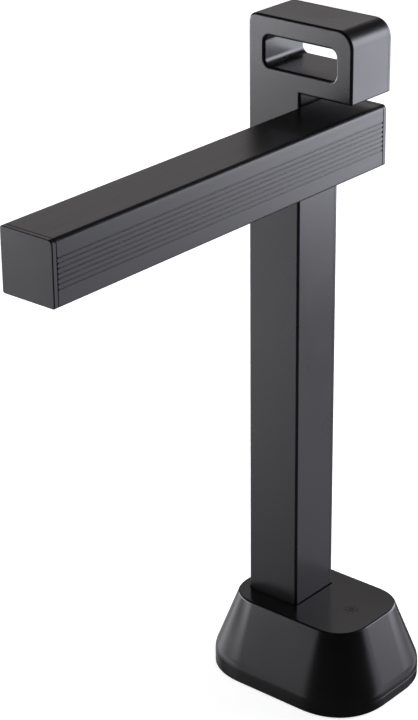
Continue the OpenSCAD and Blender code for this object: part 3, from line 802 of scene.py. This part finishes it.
def make_bottom_cover():
    """The arm's bottom plate, with seats for the window, the lamp and four screws."""
    low, high = box("arm_bottom_cover")
    window, lamp = centre("camera_window"), centre("lamp_diffuser")
    lamp_low, lamp_high = box("lamp_diffuser")
    w, d = high.x - low.x, high.y - low.y
    x, y = (low.x + high.x) / 2, (low.y + high.y) / 2
    edge, r = 0.3, 0.7
    face = round_rect(w - 2 * edge, d - 2 * edge, r - edge, x, y)
    sides = round_rect(w, d, r, x, y)
    plate = loft([along_z(face, low.z), along_z(sides, low.z + edge), along_z(sides, COVER_TOP)])
    cover = as_object(plate, "arm_bottom_skin")
    post_root = 0.5
    for px, py in POST_PLACES:
        add(cover, rod(POST_R, high.z - COVER_TOP + post_root,
                       (px, py, COVER_TOP - post_root), "Z", 20))
    lamp_d, mouth_r, bevel = lamp_high.y - lamp_low.y - 2, 2, 0.4
    mouth = round_rect(LAMP_MOUTH_W, lamp_d, mouth_r, ARM_X, lamp.y)
    flared = round_rect(LAMP_MOUTH_W + 2 * bevel, lamp_d + 2 * bevel, mouth_r + bevel,
                        ARM_X, lamp.y)
    cut(cover, loft([along_z(flared, low.z - CUT_PAST), along_z(flared, low.z),
                     along_z(mouth, low.z + bevel), along_z(mouth, high.z + CUT_PAST)]))
    cut(cover, lathe(WINDOW_SEAT, (ARM_X, window.y, low.z), "Z", 72))
    for px, py in COVER_SCREWS:
        cut(cover, lathe(COVER_BORE, (px, py, low.z), "Z", 40))
    return stand_for(cover, MATERIALS["satin_plastic"], "satin_plastic", "arm_bottom_cover")


def make_cover_screws():
    z = box("arm_cover_screws")[0].z
    places = [((x, y, z), 1.9, 1, 1, 6) for x, y in COVER_SCREWS]
    return screw_set("arm_cover_screw_set", places, "-Z", "arm_cover_screws")


def make_window():
    """The round pane under the lens, with a bevelled edge."""
    low, high = box("camera_window")
    at = centre("camera_window")
    r, bevel, bevel_h = 7.95, 0.35, 0.3
    outline = [(r - bevel, 0), (r, bevel_h), (r, high.z - low.z)]
    disc = lathe(outline, (at.x, at.y, low.z), "Z", 72)
    return stand_for(as_object(disc, "camera_window_glass"), MATERIALS["window"], "window",
                     "camera_window")


def make_lens_barrel():
    """The barrel with a stepped, ribbed mouth round the front glass."""
    low, high = box("lens_barrel")
    at = centre("lens_barrel")
    tall = high.z - low.z
    body = [(5.2, 0), (5.5, 0.3), (5.5, 1.6), (5.25, 1.75), (5.25, 2.1), (5.5, 2.25), (5.5, tall)]
    barrel = as_object(lathe(body, (at.x, at.y, low.z), "Z", 64), "lens_barrel_body")
    mouth = [(4.6, -1), (4.6, 0.01), (4.3, 0.3), (4.3, 0.55), (4, 0.6), (4, 3), (2.5, 3.05),
             (2.5, tall + 1)]
    cut(barrel, lathe(mouth, (at.x, at.y, low.z), "Z", 64))
    return stand_for(barrel, MATERIALS["chips"], "chips", "lens_barrel")


def make_diffuser():
    """The lamp's hollow lens, with a flange that rests on the bottom cover's inside."""
    low, high = box("lamp_diffuser")
    y = (low.y + high.y) / 2
    play, flange, wall, r, edge = 0.1, 1, 1.2, 1.9, 0.5
    hollow_r, edge_hold = 1.2, 0.8
    w, d = LAMP_LENS_W, high.y - low.y - 2 * (flange + play)
    step_z, step_h, floor_t = COVER_TOP + 0.05, 0.02, 1.4
    rings = [along_z(round_rect(w - 2 * i, d - 2 * i, r - i * edge_hold, ARM_X, y),
                     low.z + dz)
             for i, dz in fillet(edge, 4)]
    rim = round_rect(w + 2 * flange, d + 2 * flange, r + flange, ARM_X, y)
    rings += [along_z(round_rect(w, d, r, ARM_X, y), step_z), along_z(rim, step_z + step_h),
              along_z(rim, high.z)]
    lamp = as_object(loft(rings), "lamp_diffuser_lens")
    hollow = round_rect(w - 2 * wall, d - 2 * wall, hollow_r, ARM_X, y)
    cut(lamp, prism_z(hollow, low.z + floor_t, high.z + CUT_PAST))
    return stand_for(lamp, MATERIALS["diffuser"], "diffuser", "lamp_diffuser")


# ---------------------------------------------------------------- foot

FOOT_BOSS_R = 3.5
FOOT_PILOT_R = 1.5
# (radius, height) points of the foot cover's screw bores, from the pad's seat
FOOT_BORE = [(2.9, 0), (2.9, 1.4), (1.6, 1.4), (1.6, 3.5)]
PAD_INSET_R = 6.5  # how much less the pad's corner radius is than the skirt's


def flare_ring(share, z, inset=0.0):
    """A ring of the foot: share 0 is the skirt's outline and 1 the flat top's."""
    w, d, r = (a + (b - a) * share for a, b in zip(FOOT_SKIRT_SIZE, FOOT_TOP_SIZE))
    return along_z(soft_rect(w - 2 * inset, d - 2 * inset, r - inset), z)


def make_foot_shell():
    """The flared casing: a soft knee above the skirt and a tight lip round the flat top."""
    seam_z, top = FOOT_LOW.z, FOOT_HIGH.z
    rise = FLARE_TOP - SKIRT_TOP
    run = (FOOT_SKIRT_SIZE[1] - FOOT_TOP_SIZE[1]) / 2
    blend, rim = 2.2, 0.95
    edge_share = (top - SKIRT_TOP) / rise
    start = (0.0, SKIRT_TOP - blend)
    knee = bezier(start, (0.0, SKIRT_TOP), (blend / rise, SKIRT_TOP + blend), 8)
    lip = bezier((edge_share - rim / rise, top - rim), (edge_share, top),
                 (edge_share + rim / run, top), 8)
    rings = [flare_ring(0, seam_z, FOOT_SEAM), flare_ring(0, seam_z + FOOT_SEAM)]
    rings += [flare_ring(s, z) for s, z in knee]
    rings += [flare_ring(s, z) for s, z in lip]
    shell = as_object(loft(rings), "base_shell_skin")
    inner_top = (FLARE_TOP - 2 * WALL - SKIRT_TOP) / rise
    cut(shell, loft([flare_ring(0, seam_z - CUT_PAST, WALL), flare_ring(0, SKIRT_TOP, WALL),
                     flare_ring(inner_top, top - WALL, WALL)]))
    ballast_top = box("ballast_plate")[1].z
    boss_length, pilot_length = top - WALL / 2 - ballast_top, 11
    for x, y in BOSS_PLACES:
        add(shell, rod(FOOT_BOSS_R, boss_length, (x, y, ballast_top), "Z", 32))
        cut(shell, rod(FOOT_PILOT_R, pilot_length, (x, y, ballast_top - CUT_PAST), "Z", 24))
    cut(shell, column_well(top))
    add_port_recess(shell)
    return stand_for(shell, MATERIALS["foot_plastic"], "foot_plastic", "base_shell")


def column_well(top):
    """The cutter of the hole that the column stands in, with a fine chamfer at its mouth."""
    chamfer = 0.25
    w = COLUMN_RIGHT - COLUMN_LOW.x + 2 * SOCKET_GAP
    d = 2 * (REAR_HIGH.y + SOCKET_GAP)
    well = round_rect(w, d, EDGE_R + SOCKET_GAP, COLUMN_X)
    mouth = round_rect(w + 2 * chamfer, d + 2 * chamfer, EDGE_R + SOCKET_GAP + chamfer, COLUMN_X)
    return loft([along_z(mouth, top + CUT_PAST), along_z(mouth, top),
                 along_z(well, top - chamfer), along_z(well, top - WALL - CUT_PAST)])


def add_port_recess(shell):
    """The USB recess: a thick wall behind the flare, with an oval mouth for the socket."""
    w, h = PORT_SIZE
    port = centre("usb_socket")
    x, z = port.x, port.z
    bezel_r, recess_r, overlap, past_flare = 1.6, 1, 0.02, 12
    bezel = round_rect(w + 2 * PORT_BEZEL, h + 2 * PORT_BEZEL, bezel_r, x, z)
    recess = round_rect(w, h, recess_r, x, z)
    add(shell, prism_y(bezel, PORT_FACE_Y - PORT_BEZEL, PORT_FACE_Y + overlap))
    cut(shell, prism_y(recess, PORT_FACE_Y, PORT_FACE_Y + past_flare))
    mouth_w, mouth_h, mouth_r, bevel = 9.4, 3.7, 1.8, 0.25
    mouth = round_rect(mouth_w, mouth_h, mouth_r, x, z)
    flared = round_rect(mouth_w + 2 * bevel, mouth_h + 2 * bevel, mouth_r + bevel, x, z)
    cut(shell, loft([along_y(mouth, PORT_FACE_Y - 2), along_y(mouth, PORT_FACE_Y - bevel),
                     along_y(flared, PORT_FACE_Y), along_y(flared, PORT_FACE_Y + CUT_PAST)]))


def make_foot_cover():
    """The tray under the foot: its seam, the rim that stands inside the shell, the pad's seat."""
    low, seam = COVER_LOW.z, FOOT_LOW.z
    edge, step_h, rim_t, overlap = 0.5, 0.01, 1.4, 0.005
    rings = [flare_ring(0, low + dz, i) for i, dz in fillet(edge)]
    rings += [flare_ring(0, seam - FOOT_SEAM), flare_ring(0, seam, FOOT_SEAM),
              flare_ring(0, seam + step_h, COVER_INSET), flare_ring(0, COVER_HIGH.z, COVER_INSET)]
    cover = as_object(loft(rings), "base_cover_skin")
    cut(cover, loft([flare_ring(0, COVER_FLOOR_TOP, COVER_INSET + rim_t),
                     flare_ring(0, COVER_HIGH.z + CUT_PAST, COVER_INSET + rim_t)]))
    pad_r = FOOT_SKIRT_SIZE[2] - PAD_INSET_R
    pad = round_rect(PAD_HIGH.x - PAD_LOW.x, PAD_HIGH.y - PAD_LOW.y, pad_r, steps=16)
    cut(cover, prism_z(pad, 0, PAD_HIGH.z))
    for x, y in BOSS_PLACES:
        cut(cover, lathe(FOOT_BORE, (x, y, PAD_HIGH.z - overlap), "Z", 32))
    return stand_for(cover, MATERIALS["foot_plastic"], "foot_plastic", "base_cover")


def make_pad():
    """The rubber pad, with moulded cross grooves underneath that stop short of its border."""
    gap = 0.05
    w, d = PAD_HIGH.x - PAD_LOW.x - 2 * gap, PAD_HIGH.y - PAD_LOW.y - 2 * gap
    r = FOOT_SKIRT_SIZE[2] - PAD_INSET_R - gap
    edge, border, pitch, count = 0.3, 5, 6, 9
    rings = [along_z(round_rect(w - 2 * i, d - 2 * i, r - i, steps=16), dz)
             for i, dz in fillet(edge, 4)]
    rings.append(along_z(round_rect(w, d, r, steps=16), PAD_HIGH.z))
    pad = as_object(loft(rings), "rubber_pad_sole")
    mouth, floor, deep, below = 0.9, 0.45, 0.4, -0.5
    for y in [pitch * (i - (count - 1) / 2) for i in range(count)]:
        in_corner = max(0, abs(y) - (d / 2 - r))
        half = w / 2 - r + math.sqrt(max(0, (r - border) ** 2 - in_corner ** 2))
        groove = [(y - mouth, below), (y + mouth, below), (y + mouth, 0), (y + floor, deep),
                  (y - floor, deep), (y - mouth, 0)]
        cut(pad, loft([[(x, gy, gz) for gy, gz in groove] for x in (-half, half)]))
    return stand_for(pad, MATERIALS["rubber"], "rubber", "rubber_pad")


def make_socket():
    """The USB socket: a rolled steel shell round a tongue."""
    low, high = box("usb_socket")
    x, z = (low.x + high.x) / 2, (low.z + high.z) / 2

    def ring(w, h, r, y):
        """An oval of the socket's section: width, height and corner radius at y."""
        return along_y(round_rect(w, h, r, x, z), y)

    socket = as_object(loft([ring(9, 3.3, 1.6, low.y), ring(9, 3.3, 1.6, high.y - 0.15),
                             ring(8.8, 3.1, 1.5, high.y)]), "usb_socket_shell")
    cut(socket, loft([ring(8.34, 2.56, 1.28, low.y + 1.5), ring(8.34, 2.56, 1.28, high.y - 0.12),
                      ring(8.6, 2.82, 1.4, high.y + 0.2)]))
    stand_for(socket, MATERIALS["steel"], "steel", "usb_socket")
    tongue = as_object(loft([ring(6.7, 0.7, 0.3, low.y + 1.4), ring(6.7, 0.7, 0.3, high.y - 1.3),
                             ring(6.3, 0.4, 0.15, high.y - 1)]), "usb_tongue")
    return stand_for(tongue, MATERIALS["chips"], "chips", "usb_socket")


def make_symbol():
    """The lamp key's sun: a ring and eight rays with round ends."""
    low, high = box("touch_symbol")
    x, y = (low.x + high.x) / 2, (low.y + high.y) / 2
    hole_r, tall = 0.95, 0.09
    rays, ray_w, ray_d, ray_r, ray_at = 8, 1.4, 0.44, 0.21, 2.9
    outer = [(1.45, 0), (1.5, 0.04), (1.46, tall)]
    ring = as_object(lathe(outer, (x, y, low.z)), "touch_symbol_print")
    cut(ring, rod(hole_r, 2 * CUT_PAST, (x, y, low.z - CUT_PAST)))
    for i in range(rays):
        ray = prism_z(round_rect(ray_w, ray_d, ray_r, ray_at, 0, steps=5), 0, tall)
        ray.transform(Matrix.Rotation(2 * math.pi * i / rays, 4, "Z"))
        add(ring, placed(ray, (x, y, low.z)))
    return stand_for(ring, MATERIALS["print"], "print", "touch_symbol")


# ---------------------------------------------------------------- studio

def make_camera():
    """The camera that sees the object as the reference view does."""
    data = bpy.data.cameras.new("camera")
    camera = linked("camera", data)
    camera.location = (0.60898, -0.79817, 0.62884)
    camera.rotation_euler = [math.radians(a) for a in (65.991, 0.527, 40.176)]
    data.sensor_fit = "VERTICAL"
    data.sensor_height = 24
    data.sensor_width = 24
    data.lens = 74.766
    data.shift_x = -0.00079
    data.shift_y = -0.01782
    bpy.context.scene.camera = camera


def emitter(name, colour, strength, profiles):
    """A panel's glow, which lets the light of the panels behind it through.

    profiles are (place, share of the strength) pairs along its own X and along its own Y.
    """
    material = bpy.data.materials.new(name)
    material.use_nodes = True
    tree = material.node_tree
    tree.nodes.clear()
    coords = tree.nodes.new("ShaderNodeTexCoord")
    split = tree.nodes.new("ShaderNodeSeparateXYZ")
    tree.links.new(coords.outputs["Object"], split.inputs["Vector"])
    value = None
    for axis, profile in zip("XY", profiles):
        spread = tree.nodes.new("ShaderNodeMapRange")
        spread.inputs["From Min"].default_value = -1
        tree.links.new(split.outputs[axis], spread.inputs["Value"])
        ramp = tree.nodes.new("ShaderNodeValToRGB")
        ramp.color_ramp.interpolation = "EASE"
        start, end = profile[0][0], profile[-1][0]
        stops = ramp.color_ramp.elements
        while len(stops) < len(profile):
            stops.new(0.5)
        for stop, (place, share) in zip(stops, profile):
            stop.position = (place - start) / (end - start)
            stop.color = (share, share, share, 1)
        tree.links.new(spread.outputs["Result"], ramp.inputs["Fac"])
        times = tree.nodes.new("ShaderNodeMath")
        times.operation = "MULTIPLY"
        times.inputs[0].default_value = strength
        if value is not None:
            tree.links.new(value, times.inputs[0])
        tree.links.new(ramp.outputs["Color"], times.inputs[1])
        value = times.outputs[0]
    glow = tree.nodes.new("ShaderNodeEmission")
    glow.inputs["Color"].default_value = (*colour, 1)
    tree.links.new(value, glow.inputs["Strength"])
    clear = tree.nodes.new("ShaderNodeBsdfTransparent")
    both = tree.nodes.new("ShaderNodeAddShader")
    tree.links.new(glow.outputs[0], both.inputs[0])
    tree.links.new(clear.outputs[0], both.inputs[1])
    out = tree.nodes.new("ShaderNodeOutputMaterial")
    tree.links.new(both.outputs[0], out.inputs["Surface"])
    return material


def flat_square(name, half, material):
    """A square that lies flat about the origin, of the given half side in metres."""
    mesh = bpy.data.meshes.new(name)
    corners = [(-half, -half, 0), (half, -half, 0), (half, half, 0), (-half, half, 0)]
    mesh.from_pydata(corners, [], [(0, 1, 2, 3)])
    mesh.materials.append(material)
    return linked(name, mesh)


def softbox(name, azimuth, distance, across, up, strength, colour):
    """An upright glowing panel that faces the object.

    azimuth is the direction it stands in, in degrees from -Y towards +X, and distance is in
    metres. across and up are its brightness profiles: (metres, share of the strength) along
    its horizontal, whose positive direction is azimuth + 90, and from low to high.
    """
    a = math.radians(azimuth)
    out = Vector((math.sin(a), -math.cos(a), 0))
    right = Vector((math.cos(a), math.sin(a), 0))
    left_end, right_end, bottom, top = across[0][0], across[-1][0], up[0][0], up[-1][0]
    half_w, half_h = (right_end - left_end) / 2, (top - bottom) / 2
    middle = out * distance + right * (left_end + right_end) / 2
    middle.z = (top + bottom) / 2
    panel = flat_square(name, 1, emitter(name, colour, strength, (across, up)))
    panel.matrix_world = Matrix.Translation(middle) @ Matrix((
        (right.x * half_w, 0, -out.x, 0), (right.y * half_w, 0, -out.y, 0),
        (0, half_h, 0, 0), (0, 0, 0, 1)))
    panel.visible_camera = False
    panel.visible_shadow = False


def make_floor():
    """A plain pale floor, which the object's gloss doesn't pick up."""
    half_side = 6
    g = Graph("floor")
    g.tint(g.noise(3, 2), (0.8, 0.8, 0.8), (0.83, 0.83, 0.83))
    g.roughness(g.noise(5, 2), 0.85, 0.95)
    g.shader.inputs["Emission Color"].default_value = (1, 1, 1, 1)
    g.set(glow=0.8, specular=0.0)
    floor = flat_square("floor", half_side, g.material)
    floor.visible_glossy = False
    floor.visible_shadow = False


def make_world():
    """Pale to the camera, and dim to the object's own gloss."""
    world = bpy.data.worlds.new("studio")
    bpy.context.scene.world = world
    world.use_nodes = True
    tree = world.node_tree
    tree.nodes.clear()
    seen = tree.nodes.new("ShaderNodeLightPath")
    pale = tree.nodes.new("ShaderNodeBackground")
    pale.inputs["Color"].default_value = (1, 1, 1, 1)
    dim = tree.nodes.new("ShaderNodeBackground")
    dim.inputs["Color"].default_value = (0.05, 0.05, 0.05, 1)
    mix = tree.nodes.new("ShaderNodeMixShader")
    out = tree.nodes.new("ShaderNodeOutputWorld")
    tree.links.new(seen.outputs["Is Camera Ray"], mix.inputs["Fac"])
    tree.links.new(dim.outputs[0], mix.inputs[1])
    tree.links.new(pale.outputs[0], mix.inputs[2])
    tree.links.new(mix.outputs[0], out.inputs["Surface"])


def make_lights():
    """Broad soft panels where the flat faces mirror them, dark between."""
    cool, cooler, warm = (0.985, 0.98, 1.035), (0.96, 0.965, 1.075), (1.03, 0.975, 0.995)
    low_to_high = [(-0.6, 0), (-0.3, 1), (0.6, 1), (0.8, 0)]
    softbox("left_softbox", -39, 0.9, [(-1.8, 0), (-1.4, 1), (-0.04, 1), (0.08, 0)],
            [(-0.65, 0), (-0.4, 0.08), (-0.15, 0.18), (0, 0.02), (0.15, 1), (0.4, 0.02),
             (0.6, 0.05), (0.9, 0)], 12, cool)
    softbox("left_fill", -39, 0.91, [(-0.04, 0), (0.08, 1), (0.2, 1), (0.35, 0)], low_to_high,
            0.95, cool)
    softbox("right_softbox", 141, 0.9, [(-0.155, 0), (-0.065, 1), (0.6, 1), (0.9, 0)],
            [(-0.65, 0), (-0.4, 0.17), (-0.15, 0.1), (0, 1), (0.15, 0.92), (0.4, 1.4), (0.6, 1.5),
             (0.8, 0)], 5.3, cooler)
    softbox("right_fill", 141, 0.91, [(-0.5, 0), (-0.3, 1), (-0.155, 1), (-0.065, 0)], low_to_high,
            1.6, cooler)
    softbox("back_softbox", 219, 1.2, [(-0.8, 0), (-0.5, 1), (0.5, 1), (0.8, 0)],
            [(0.05, 0), (0.35, 0.33), (0.6, 0.17), (0.85, 1), (1.2, 0)], 0.95, warm)
    softbox("left_skirting", -112, 1.2, [(-1.7, 0), (-1.2, 1), (0.6, 1), (1, 0)],
            [(-1, 0), (-0.5, 1), (-0.1, 1), (0.1, 0)], 0.5, cool)


make_camera()
make_floor()
make_world()
make_lights()
bpy.context.scene.view_settings.view_transform = "Standard"

finish_cad_nodes()
make_column_shell()
make_rear_cover()
make_rear_screws()
make_arm_housing()
make_cap("arm_front_cap_skin", "arm_front_cap", ARM_FRONT_Y, ARM_LOW.y)
make_cap("arm_rear_cap_skin", "arm_rear_cap", ARM_TAIL_Y, ARM_HIGH.y)
make_bottom_cover()
make_cover_screws()
make_window()
make_lens_barrel()
make_diffuser()
make_foot_shell()
make_foot_cover()
make_pad()
make_socket()
make_symbol()
